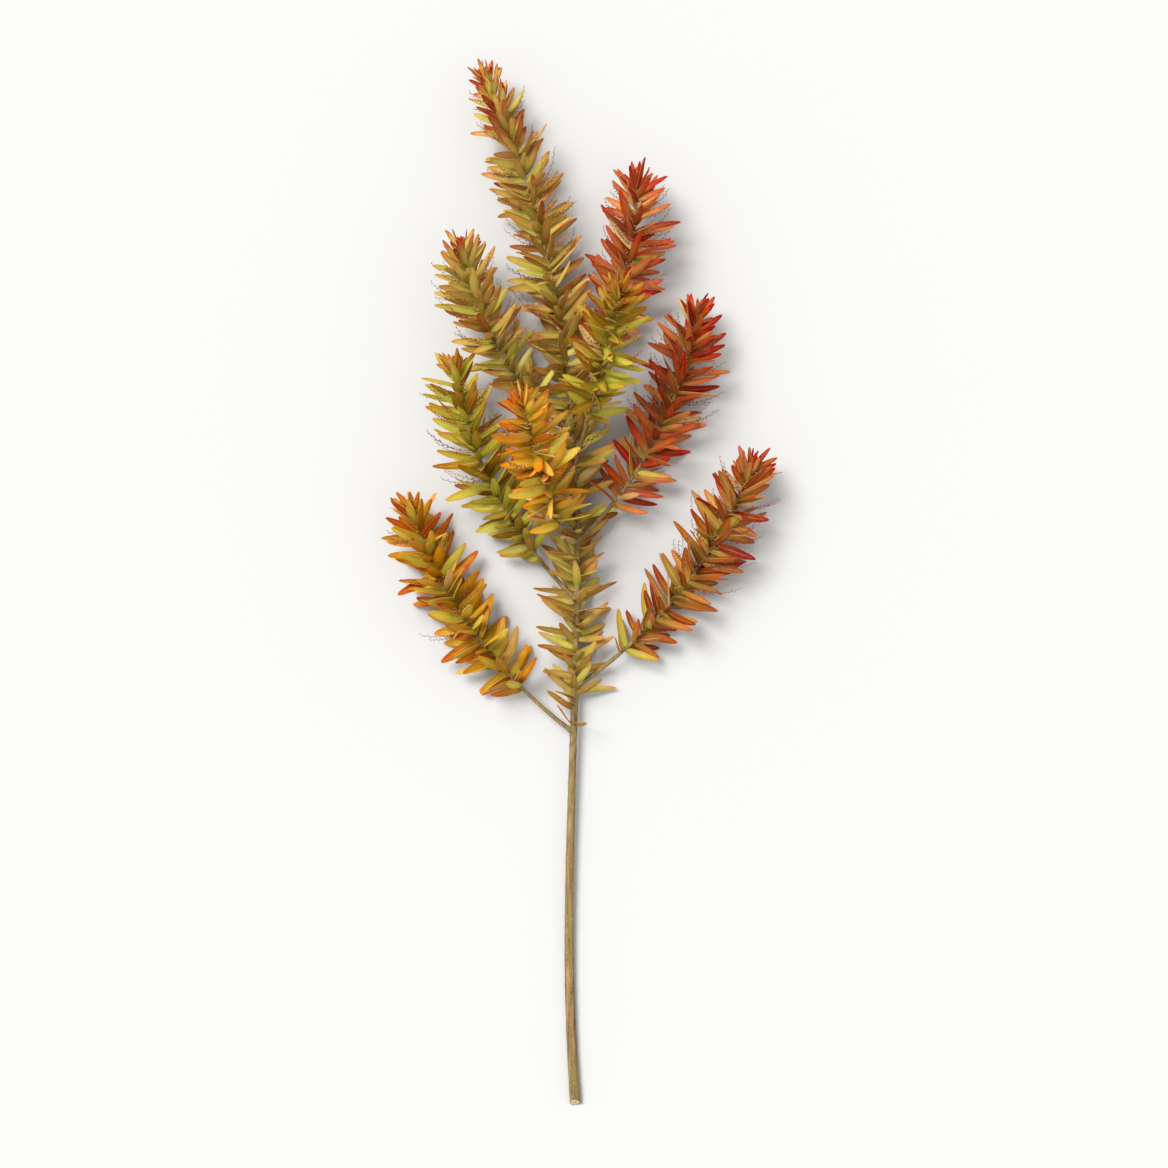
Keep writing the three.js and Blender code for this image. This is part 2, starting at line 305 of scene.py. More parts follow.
# Leaves. rows: where the points of a leaf lie along it. widest, fullness: its outline. foldUp: how far
# its halves fold up. ribSink: how far its midrib lies lower. footSwell, footFade: its thicker foot.
leaf = dict(length=35.0, width=7.4, thickness=0.36, columns=4,
            rows=(0, 0.07, 0.18, 0.34, 0.52, 0.7, 0.84, 0.935, 0.982, 1),
            petioleWidth=0.13, leastWidth=0.001, widest=0.82, fullness=0.46, foldFrom=0.3, foldUp=0.42,
            ribFrom=0.05, ribTo=0.93, ribSink=0.2, footSwell=1.6, footFade=0.07, smoothing=50)

# How leaves stand and grow, as on the measured solids, with the small leaves round each tip.
# A pair in stance or growth is an amount and the middle of its chance, in tuft a first and a last.
stance = dict(offTwig=69, closing=34, spread=38, swing=1.0, jitter=3.0, roll=1.5, towardsLight=1.2,
              arch=(0.3, 0.35), sickle=(0.2, 0.25), twist=1.0, ripple=0.04, ripples=7)
growth = dict(crowding=1.22, sparseTo=0.09, atFoot=0.22, atTip=0.44, lengthSpread=(0.36, 0.6),
              widthSpread=0.24)
tuft = dict(leaves=8, back=8.0, length=(19.0, 11.4), width=(5.2, 3.64), spread=(46, 5))
table = dict(nearTip=0.4, trailing=0.25, arch=0.3, softFrom=2.4, lowest=0.25)


def outlineWidth(share):
    full = math.sin(math.pi * share ** leaf["widest"]) ** leaf["fullness"]
    return max(full, leaf["petioleWidth"] if share < 0.5 else leaf["leastWidth"])


# One leaf, flat side up, its foot at the zero point and its length along Y
def leafModel():
    deselectAll()
    rows = len(leaf["rows"]) - 1
    bpy.ops.mesh.primitive_grid_add(x_subdivisions=leaf["columns"], y_subdivisions=rows, size=1)
    model = bpy.context.object
    model.name = "leaf_model"
    length, width = leaf["length"] * mm, leaf["width"] * mm
    toEdit(model)
    selectAll()
    move(0, 0.5, 0)
    resize((width, length, 1))
    # each row gets its width, and then its place, from both ends inwards so that none passes another
    for row in sorted(range(rows + 1), key=lambda row: -abs(row - rows / 2)):
        here = row / rows * length
        wanted = leaf["rows"][row] * length
        selectPoints(model, lambda co: abs(co.y - here) < near * length)
        resize((outlineWidth(leaf["rows"][row]), 1, 1), (0, here, 0))
        move(0, wanted - here, 0)
    selectPoints(model, lambda co: co.y > (1 - near) * length)
    bpy.ops.mesh.merge(type="CENTER")
    # the halves fold up, and the midrib lies a little lower
    selectPoints(model, lambda co: abs(co.x) > leaf["foldFrom"] * width)
    move(0, 0, leaf["foldUp"] * mm)
    selectPoints(model, lambda co: abs(co.x) < near * width
                 and leaf["ribFrom"] * length < co.y < leaf["ribTo"] * length)
    move(0, 0, -leaf["ribSink"] * mm)
    toObject()
    wall = model.modifiers.new("wall", "SOLIDIFY")
    wall.thickness = leaf["thickness"] * mm
    wall.offset = 0
    bpy.ops.object.modifier_apply(modifier=wall.name)
    smoothed(model, leaf["smoothing"])
    return model


# A leaf that would go below the table is swung up until its tip lies on it
def restOnTable(root, heading, along, length):
    climb = -root.z / length
    flat = Vector((along.x, along.y, 0)) + table["trailing"] * heading
    flat.z = 0
    flat = flat.normalized() * math.sqrt(max(0.0, 1 - climb * climb))
    along = Vector((flat.x, flat.y, climb))
    face = Vector((0, 0, 1))
    return along, (face - along * face.dot(along)).normalized()


def leafStand(line, distance, around, tilt, length, draw):
    root, heading, outwards = (Vector(part) for part in line.outFrom(distance, around))
    along = heading * math.cos(tilt) + outwards * math.sin(tilt)
    face = heading.cross(outwards)
    # blades stand on edge, but those above the twig turn their flat side up to the light
    roll = strayed(draw, stance["roll"])
    roll += math.copysign(stance["towardsLight"] * max(0, outwards.z) ** 2, roll)
    face.rotate(Matrix.Rotation(roll, 3, along))
    arch = strayed(draw, *stance["arch"])
    if root.z + length * along.z < table["nearTip"]:
        along, face = restOnTable(root, heading, along, length)
        arch = table["arch"] * abs(arch)
    return dict(root=root, along=along, face=face, arch=arch)


# A copy of the leaf bent, twisted and set in its place
def placedLeaf(model, flatSpots, stand, length, width, draw, tone):
    twin = copyOf(model)
    share = flatSpots[:, 1] / (leaf["length"] * mm)
    wide = flatSpots[:, 0] * (width / leaf["width"])
    high = flatSpots[:, 2] * (1 + leaf["footSwell"] * np.exp(-share / leaf["footFade"]))
    twist = strayed(draw, stance["twist"]) * share
    bentWide = wide * np.cos(twist) - high * np.sin(twist)
    bentHigh = wide * np.sin(twist) + high * np.cos(twist)
    bentWide += strayed(draw, *stance["sickle"]) * length * mm * share ** 2
    bentHigh += stand["arch"] * length * mm * share ** 2
    phase = math.tau * draw.random()
    bentHigh += stance["ripple"] * np.abs(wide) * np.sin(stance["ripples"] * share + phase)
    side = stand["along"].cross(stand["face"]).normalized()
    turned = (np.outer(bentWide, side) + np.outer(share * length * mm, stand["along"])
              + np.outer(bentHigh, stand["face"]))
    setSpots(twin, turned + toFrame(stand["root"]))
    setTone(twin, "leafTone", tone)
    return twin


# Nothing goes below the table: what would is pressed flat on it, softly
def pressOnTable(model):
    spots = spotsOf(model)
    soft, low = table["softFrom"] * mm, table["lowest"] * mm
    under = spots[:, 2] < soft
    spots[under, 2] = low + (soft - low) * np.exp((spots[under, 2] - soft) / (soft - low))
    setSpots(model, spots)


# Leaf feet, a little closer towards the tip: share along the leafy part, and distance along the twig
def footOf(shoot, line, index):
    share = (index + 0.5) / shoot["leaves"]
    leafy = line.length - shoot["bare"]
    return share, shoot["bare"] + leafy * (1 - (1 - share) ** growth["crowding"])


def leavesOf(shoot, line, model, draw):
    flatSpots = spotsOf(model)
    made = []

    def grow(distance, around, tilt, length, width, share, youth):
        stand = leafStand(line, distance, around, tilt, length, draw)
        tone = (draw.random(), share, draw.random(), youth)
        made.append(placedLeaf(model, flatSpots, stand, length, width, draw, tone))

    for index in range(shoot["leaves"]):
        share, distance = footOf(shoot, line, index)
        if draw.random() * growth["sparseTo"] > share:
            continue
        youth = math.exp((distance - line.length) / shoot["young"])
        around = index * goldenTurn + shoot["phase"] + strayed(draw, stance["swing"])
        tilt = stance["offTwig"] - stance["closing"] * youth + strayed(draw, stance["spread"])
        size = 1 - growth["atFoot"] * (1 - share) ** 3 - growth["atTip"] * youth
        distance = min(distance + strayed(draw, stance["jitter"]), line.length)
        length = leaf["length"] * size * (1 + strayed(draw, *growth["lengthSpread"]))
        width = leaf["width"] * shoot["wide"] * size * (1 + strayed(draw, growth["widthSpread"]))
        grow(distance, around, math.radians(tilt), length, width, share, youth)
    # the last few stand close round the tip
    for index in range(tuft["leaves"]):
        share = index / (tuft["leaves"] - 1)
        distance = line.length - tuft["back"] * (1 - share)
        around = index * goldenTurn + shoot["phase"]
        tilt = math.radians(between(*tuft["spread"], share))
        width = between(*tuft["width"], share) * shoot["wide"]
        grow(distance, around, tilt, between(*tuft["length"], share), width, 1.0, 1.0)
    whole = joined(made, shoot["name"] + "_leaves")
    pressOnTable(whole)
    return whole


# Twigs, collars and the axis. knobs: how fine they are round the twig, and how long.

twig = dict(tipRadius=0.6, startsAt=0.6, sides=10, rows=90, ridges=4, ridgeDepth=0.08, ridgePitch=26.0,
            knobDepth=0.22, knobs=(1.6, 4.5), smoothing=60)
collar = dict(length=6.5, over=0.12, spread=0.55, fade=2.2, rows=8)
axisRod = dict(sides=20, rows=300, tuckedIn=2.0, stepIn=0.4, stepFade=0.7, knobsFrom=18.0)


# Soft noise over a rod, by its fineness round the rod and its length along it
def lumps(distance, around, fineness, length):
    return np.array([noise.noise(Vector((math.cos(a) * fineness, d / length, math.sin(a) * fineness)))
                     for d, a in zip(distance, around)])


def ridged(distance, around):
    ridge = twig["ridgeDepth"] * np.cos(twig["ridges"] * around + distance / twig["ridgePitch"])
    return 1 + ridge + twig["knobDepth"] * lumps(distance, around, *twig["knobs"])


def twigOf(shoot, line, model):
    def radiusAt(distance, around):
        plain = between(shoot["base"], twig["tipRadius"], distance / line.length)
        return plain * ridged(distance, around)
    return laidRod(model, line, twig["startsAt"] * collar["length"], line.length, radiusAt)


def collarOf(shoot, line, model):
    def radiusAt(distance, around):
        flare = collar["spread"] * np.exp(-distance / collar["fade"])
        return (shoot["base"] + collar["over"] + flare) * ridged(distance, around)
    return laidRod(model, line, 0, collar["length"], radiusAt)


# The axis starts a little inside the wood and keeps its ridges, so that one grows out of the other
def axisOf(model):
    start = branch["wood"] - axisRod["tuckedIn"]
    whole = axisFrom(start)

    def radiusAt(distance, around):
        out = distance - axisRod["tuckedIn"]
        plain = between(branch["woodEndRadius"], branch["tipRadius"], out / leafyLine.length)
        plain = plain - axisRod["stepIn"] * np.exp(-distance / axisRod["stepFade"])
        grown = np.clip(out / axisRod["knobsFrom"], 0, 1)
        depth = between(stem["ridgeDepth"], twig["ridgeDepth"], grown)
        ridge = depth * woodRidges(start + distance, around)
        knobs = twig["knobDepth"] * grown * lumps(distance, around, *twig["knobs"])
        return plain * (1 + ridge + knobs)
    return laidRod(model, whole, 0, whole.length, radiusAt)


# Flower-bud strings: a thread of a stalk with round buds set round it on short feet. swell: how far
# every other side of a bud stands out. neck, neckDrop: how thin its foot starts, and how low. marks:
# what tells a bud from its stalk. shade: how light its colour may be.

bud = dict(radius=0.47, segments=6, rings=5, swell=1.16, neck=0.3, neckDrop=1.25, foot=2.7,
           perString=14, firstAt=0.32, lastSize=0.7, spread=0.6, swing=1.5, forward=0.6,
           marks=(0.6, 1.0), shade=0.7, smoothing=60)
budString = dict(length=32.0, lengths=(0.8, 1.15), young=0.45, stalk=0.15, taper=(1.25, 0.75),
                 fromTip=20.0, last=0.42, together=3, jitter=5, lift=(0.15, 0.85), spread=0.5,
                 rise=0.3, fan=0.6, sway=0.3, firstBend=(0.35, 0.1), nextBend=(0.75, 0.4), out=0.98,
                 sides=4, rows=9)


# One bud, its foot at the zero point: a knobbly ball whose lowest ring is drawn out to a thin foot
def budModel():
    deselectAll()
    bpy.ops.mesh.primitive_uv_sphere_add(segments=bud["segments"], ring_count=bud["rings"], radius=1)
    model = bpy.context.object
    model.name = "bud_model"
    step = math.tau / bud["segments"]
    endRing = math.cos(math.pi / bud["rings"])
    toEdit(model)
    selectPoints(model, lambda co: abs(co.z) < endRing - near
                 and (round(math.atan2(co.y, co.x) / step) + (co.z > 0)) % 2 == 0)
    resize((bud["swell"],) * 3)
    selectPoints(model, lambda co: abs(co.z + endRing) < near)
    resize((bud["neck"], bud["neck"], bud["neckDrop"]))
    selectPoints(model, lambda co: abs(co.x) + abs(co.y) < near and co.z < 0)
    move(0, 0, 1 - bud["foot"])
    selectAll()
    move(0, 0, bud["foot"])
    resize((bud["radius"] * mm,) * 3)
    toObject()
    smoothed(model, bud["smoothing"])
    return model


# A copy of a model stood on a place, its Z axis along a direction
def stoodUp(model, spots, place, along, size, tone):
    twin = copyOf(model)
    turned = np.array(Vector(along).to_track_quat("Z", "Y").to_matrix()).T
    setSpots(twin, spots @ turned * size + place)
    if tone:
        setTone(twin, "rodTone", tone)
    return twin


# A short cluster of young buds, foot at the zero point, as it stands in a leaf's axil. place, rise,
# taper: of its first bud and its last. shades: how light their colours are. sizes: of the clusters.
axilBuds = dict(length=7.0, beads=6, place=(0.3, 1.0), rise=(0.4, 2.0), size=1.05, taper=(1.1, 0.75),
                shades=(0.65, 1.0), seed=5, first=0.25, every=3, swing=0.5, lean=40, leanSpread=20,
                sizes=(0.7, 1.25))


def clusterModel(stalkModel, beadModel):
    draw = random.Random(axilBuds["seed"])
    stalk = copyOf(stalkModel)
    thick = budString["stalk"]
    setSpots(stalk, spotsOf(stalk) * (thick * mm, thick * mm, axilBuds["length"] * mm))
    setTone(stalk, "rodTone", (0, 1, 0, 1))
    parts = [stalk]
    beadSpots = spotsOf(beadModel)
    for number in range(axilBuds["beads"]):
        share = number / (axilBuds["beads"] - 1)
        turn = number * goldenTurn
        outwards = (math.cos(turn), math.sin(turn), between(*axilBuds["rise"], share))
        place = (0, 0, between(*axilBuds["place"], share) * axilBuds["length"] * mm)
        size = axilBuds["size"] * between(*axilBuds["taper"], share)
        tone = (1.0, share, between(*axilBuds["shades"], draw.random()), 1)
        parts.append(stoodUp(beadModel, beadSpots, place, outwards, size, tone))
    return joined(parts, "cluster_model")


def axilBudsOf(shoot, line, model, draw):
    spots = spotsOf(model)
    made = []
    for index in range(0, shoot["leaves"], axilBuds["every"]):
        share, distance = footOf(shoot, line, index)
        if share < axilBuds["first"]:
            continue
        around = index * goldenTurn + shoot["phase"] + strayed(draw, axilBuds["swing"])
        foot, heading, outwards = line.outFrom(distance, around)
        lean = math.radians(axilBuds["lean"] + strayed(draw, axilBuds["leanSpread"]))
        along = heading * math.cos(lean) + outwards * math.sin(lean)
        size = between(*axilBuds["sizes"], draw.random())
        made.append(stoodUp(model, spots, toFrame(foot), along, size, None))
    return made


def stringLine(line, distance, around, length, draw):
    foot, heading, outwards = line.outFrom(distance, around)
    sideways = np.cross(heading, outwards)
    rise = budString["rise"] + budString["fan"] * draw.random()

    def spot(out, along):
        sway = strayed(draw, budString["sway"])
        return foot + (out * outwards + along * heading + sway * sideways) * length

    nextOut, nextRise = budString["nextBend"]
    return bezierLine(foot, spot(*budString["firstBend"]), spot(nextOut, nextRise * rise),
                      spot(budString["out"], rise))


def budStringOf(string, models, beadSpots, draw):
    def radiusAt(distance, around):
        return budString["stalk"] * between(*budString["taper"], distance / string.length)

    made = [laidRod(models["stalk"], string, 0, string.length, radiusAt)]
    for number in range(bud["perString"]):
        along = between(bud["firstAt"], 1.0, number / (bud["perString"] - 1))
        turn = number * goldenTurn + bud["swing"] * draw.random()
        foot, heading, outwards = string.outFrom(string.length * along, turn)
        outwards = outwards + bud["forward"] * heading
        size = between(1 + strayed(draw, bud["spread"]), bud["lastSize"], along ** 3)
        tone = (between(*bud["marks"], draw.random()), along, bud["shade"] * draw.random(), 1)
        made.append(stoodUp(models["bead"], beadSpots, toFrame(foot), outwards, size, tone))
    return made


# Strings stand a few together, from just below the tip down, now on one side and now on the other
def budsOf(shoot, line, models, draw):
    made = axilBudsOf(shoot, line, models["cluster"], draw)
    beadSpots = spotsOf(models["bead"])
    leafy = line.length - shoot["bare"]
    groups = shoot["strings"] // budString["together"]
    for index in range(shoot["strings"]):
        group = index // budString["together"]
        share = between(1 - budString["fromTip"] / leafy, budString["last"], group / (groups - 1))
        distance = shoot["bare"] + leafy * share + strayed(draw, budString["jitter"])
        youth = math.exp((distance - line.length) / shoot["young"])
        upwards = between(*budString["lift"], draw.random()) + strayed(draw, budString["spread"])
        around = upwards if group % 2 else math.pi - upwards
        length = budString["length"] * between(*budString["lengths"], draw.random())
        string = stringLine(line, distance, around, length * (1 - budString["young"] * youth), draw)
        made += budStringOf(string, models, beadSpots, draw)
    whole = joined(made, shoot["name"] + "_buds")
    pressOnTable(whole)
    smoothed(whole, bud["smoothing"])
    return whole


# The bare wood: ridged bark with leaf scars and a slanting cut. coarse, fine: its lumps, by their
# fineness round the wood and their length. calmEnd: how far its end is smooth.

stem = dict(sides=40, rows=300, ridges=3, ridgeDepth=0.035, ridgePitch=38.0, roughDepth=0.16,
            coarse=(2.2, 9.0), fine=(6.0, 3.0), fineShare=0.5, calmEnd=9.0, smoothing=40)
scar = dict(count=13, first=16.0, size=1.5, height=0.55, along=0.9, dent=0.5, dentDepth=0.6)
cut = dict(degrees=36, reach=3.4, merged=0.3, barkRing=0.5, barkDepth=0.08, ringWidth=0.25,
           ringDepth=0.06)


def woodRadius(distance):
    return between(branch["buttRadius"], branch["woodEndRadius"], distance / branch["wood"])


def woodRidges(distance, around):
    return np.cos(stem["ridges"] * around + distance / stem["ridgePitch"])


def barkRadius(distance, around):
    radius = woodRadius(distance) * (1 + stem["ridgeDepth"] * woodRidges(distance, around))
    rough = lumps(distance, around, *stem["coarse"])
    rough += stem["fineShare"] * lumps(distance, around, *stem["fine"])
    calm = np.clip((branch["wood"] - distance) / stem["calmEnd"], 0, 1)
    knob, dent = scarsAt(distance, around)
    radius += calm * stem["roughDepth"] * rough
    return radius + scar["height"] * (knob - scar["dentDepth"] * dent)


# How far a point is on the swelling under a leaf scar, and in the dent of the scar itself
def scarsAt(distance, around):
    knobs = np.zeros(len(distance))
    dents = np.zeros(len(distance))
    for number in range(scar["count"]):
        place = between(scar["first"], branch["wood"] - scar["first"], number / (scar["count"] - 1))
        off = (around - number * goldenTurn + math.pi) % math.tau - math.pi
        apart = np.hypot((distance - place) / scar["along"], off * woodRadius(place)) / scar["size"]
        knobs += np.exp(-apart ** 2)
        dents += np.exp(-(apart / scar["dent"]) ** 2)
    return knobs, dents


def woodenStem():
    model = unitRod(stem["sides"], stem["rows"])
    spots = spotsOf(model)
    around = np.arctan2(spots[:, 0], spots[:, 1])
    wood = laidRod(model, axisLine, 0, branch["wood"], barkRadius)
    bpy.data.objects.remove(model)
    tones = np.ones((len(spots), 4))
    tones[:, 0] = spots[:, 2]
    tones[:, 1], tones[:, 2] = scarsAt(spots[:, 2] * branch["wood"], around)
    setTone(wood, "barkTone", tones)
    slant = math.radians(cut["degrees"])
    toEdit(wood)
    selectAll()
    centre = toFrame((0, cut["reach"], branch["buttRadius"]))
    bpy.ops.mesh.bisect(plane_co=centre, plane_no=(0, -math.cos(slant), math.sin(slant)),
                        use_fill=True, clear_outer=True)
    bpy.ops.mesh.remove_doubles(threshold=cut["merged"] * mm)
    bpy.ops.mesh.inset(thickness=cut["barkRing"] * mm, depth=-cut["barkDepth"] * mm)
    # what is inside the ring of bark is cut wood
    shape = bmesh.from_edit_mesh(wood.data)
    for face in shape.faces:
        face.material_index = int(face.select)
    bmesh.update_edit_mesh(wood.data)
    bpy.ops.mesh.inset(thickness=cut["ringWidth"] * mm, depth=cut["ringDepth"] * mm)
    toObject()
    spots = spotsOf(wood)
    spots[:, 2] = np.maximum(spots[:, 2], 0)
    setSpots(wood, spots)
    smoothed(wood, stem["smoothing"])
    return joined([wood], "main_stem_wood")


# Materials: shader maths is written as sums on signals

# A colour as it looks on a screen, 0 to 255, as light
def paint(*parts):
    light = [part / 255 for part in parts]
    light = [v / 12.92 if v <= 0.04045 else ((v + 0.055) / 1.055) ** 2.4 for v in light]
    return (*light, 1.0)


class Signal:
    def __init__(self, finish, socket):
        self.finish = finish
        self.socket = socket

    def made(self, kind, settings, *values):
        node = self.finish.add(kind, settings, dict(enumerate(values)))
        return Signal(self.finish, node.outputs[0])

    def maths(self, operation, *others, clamp=False):
        return self.made("Math", {"operation": operation, "use_clamp": clamp}, self, *others)

    def flipped(self, operation, other):
        return self.made("Math", {"operation": operation}, other, self)

    def __add__(self, other):
        return self.maths("ADD", other)

    def __sub__(self, other):
        return self.maths("SUBTRACT", other)

    def __mul__(self, other):
        return self.maths("MULTIPLY", other)

    def __truediv__(self, other):
        return self.maths("DIVIDE", other)

    def __radd__(self, other):
        return self.flipped("ADD", other)

    def __rsub__(self, other):
        return self.flipped("SUBTRACT", other)

    def __rmul__(self, other):
        return self.flipped("MULTIPLY", other)

    def __rtruediv__(self, other):
        return self.flipped("DIVIDE", other)

    def __abs__(self):
        return self.maths("ABSOLUTE")

    def limited(self):
        return self.maths("ADD", 0.0, clamp=True)

    # 0 below low, 1 above high, smooth between
    def stepped(self, low, high):
        return self.made("MapRange", {"interpolation_type": "SMOOTHSTEP"}, self, low, high)


class Finish:
    def __init__(self, name, constants):
        self.material = bpy.data.materials.new(name)
        self.material.use_nodes = True
        self.tree = self.material.node_tree
        self.shader = self.tree.nodes["Principled BSDF"]
        for socket, value in constants.items():
            self.shader.inputs[socket].default_value = value

    def add(self, kind, settings=None, values=None):
        node = self.tree.nodes.new("ShaderNode" + kind)
        for name, value in (settings or {}).items():
            if name == "stops":
                self.setStops(node.color_ramp.elements, value)
            else:
                setattr(node, name, value)
        for name, value in (values or {}).items():
            self.feed(node.inputs[name], value)
        return node

    def setStops(self, elements, stops):
        while len(elements) < len(stops):
            elements.new(1.0)
        for element, (place, colour) in zip(elements, stops):
            element.position = place
            element.color = colour

    def feed(self, socket, value):
        if isinstance(value, Signal):
            value = value.socket
        if isinstance(value, bpy.types.NodeSocket):
            self.tree.links.new(value, socket)
        else:
            socket.default_value = value

    def wear(self, socket, value):
        self.feed(self.shader.inputs[socket], value)

    def signals(self, node, *names):
        return [Signal(self, node.outputs[name]) for name in names]

    # The numbers that setTone kept on a piece
    def tones(self, name, *channels):
        colour = self.add("Attribute", {"attribute_name": name}).outputs["Color"]
        return self.signals(self.add("SeparateColor", {}, {"Color": colour}), *channels)

    # Grain: soft noise between 0 and 1, scale in grains a metre
    def grain(self, scale, detail=2.0, stretch=None, distortion=0.0):
        place = self.add("TexCoord").outputs["Object"]
        if stretch:
            place = self.add("Mapping", {}, {"Vector": place, "Scale": stretch}).outputs[0]
        values = {"Vector": place, "Scale": scale, "Detail": detail, "Distortion": distortion}
        return Signal(self, self.add("TexNoise", {}, values).outputs["Fac"])

    # Colours here are sockets, or three numbers as they look on a screen
    def mixed(self, mask, first, second):
        node = self.add("Mix", {"data_type": "RGBA"}, {0: mask})
        for place, colour in ((6, first), (7, second)):
            self.feed(node.inputs[place], paint(*colour) if isinstance(colour, tuple) else colour)
        return node.outputs[2]

    def ramp(self, value, *stops):
        painted = [(place, paint(*colour)) for place, colour in stops]
        return self.add("ValToRGB", {"stops": painted}, {"Fac": value}).outputs["Color"]

    def relief(self, height, strength, depth):
        values = {"Height": height, "Strength": strength, "Distance": depth * mm}
        self.wear("Normal", self.add("Bump", {}, values).outputs["Normal"])


# The dyed leaves. foot, middle, tip: along a leaf. dye: the spray on it. edge: its margin. deep: the
# deepest leaves. stayed, dyed, blushed, deepened, ribbed: how much of the green, the dye, the blush,
# the deep colour and the midrib shows.
leafColours = {
    "leaves_amber": dict(foot=(164, 158, 50), middle=(216, 176, 62), tip=(218, 150, 50),
                         dye=(212, 110, 36), edge=(192, 100, 34), deep=(168, 90, 26),
                         stayed=0.42, dyed=0.38, blushed=0.35, deepened=0.4, ribbed=0.5),
    "leaves_bright": dict(foot=(184, 172, 62), middle=(232, 188, 76), tip=(232, 158, 60),
                          dye=(222, 122, 46), edge=(206, 110, 40), deep=(196, 106, 36),
                          stayed=0.36, dyed=0.35, blushed=0.45, deepened=0.35, ribbed=0.4),
    "leaves_gold": dict(foot=(150, 162, 54), middle=(190, 178, 66), tip=(206, 156, 58),
                        dye=(202, 108, 42), edge=(176, 104, 38), deep=(144, 102, 30),
                        stayed=0.54, dyed=0.32, blushed=0.6, deepened=0.4, ribbed=0.5),
    "leaves_orange": dict(foot=(160, 164, 74), middle=(204, 178, 94), tip=(208, 152, 82),
                          dye=(204, 104, 62), edge=(176, 104, 54), deep=(146, 96, 46),
                          stayed=0.5, dyed=0.34, blushed=0.95, deepened=0.4, ribbed=0.5),
    "leaves_rust": dict(foot=(152, 130, 50), middle=(190, 120, 56), tip=(182, 94, 44),
                        dye=(176, 72, 38), edge=(144, 72, 36), deep=(126, 54, 30),
                        stayed=0.26, dyed=0.54, blushed=0.7, deepened=0.5, ribbed=0.4),
    "leaves_red": dict(foot=(162, 128, 58), middle=(204, 116, 64), tip=(202, 92, 58),
                       dye=(190, 78, 50), edge=(154, 62, 44), deep=(150, 56, 36),
                       stayed=0.18, dyed=0.62, blushed=0.7, deepened=0.62, ribbed=0.22),
}
# What all leaves share. cover: how much of what is below each layer hides. spray, blotch, fleckSize:
# grains a metre. shift: how the leaves differ, from one end of chance to the other.
leafCommon = dict(green=(160, 158, 48), rib=(220, 194, 104), fleck=(120, 50, 28), point=(86, 54, 38),
                  blush=(174, 60, 38), rim=(206, 168, 98), bleached=(222, 196, 132),
                  cover=dict(green=0.8, dye=0.9, deep=0.7, bleached=0.85, edge=0.45, fleck=0.55,
                             point=0.8, rim=0.3),
                  spray=42, blotch=150, fleckSize=1500, gloss=0.16, roughness=(0.42, 0.64),
                  glow=0.36, glowDepth=1.5, glowColour=(1.0, 0.45, 0.12), nerves=12, relief=(0.5, 0.15),
                  shift={"Value": (0.76, 1.18), "Hue": (0.477, 0.519), "Saturation": (1.09, 0.98)})


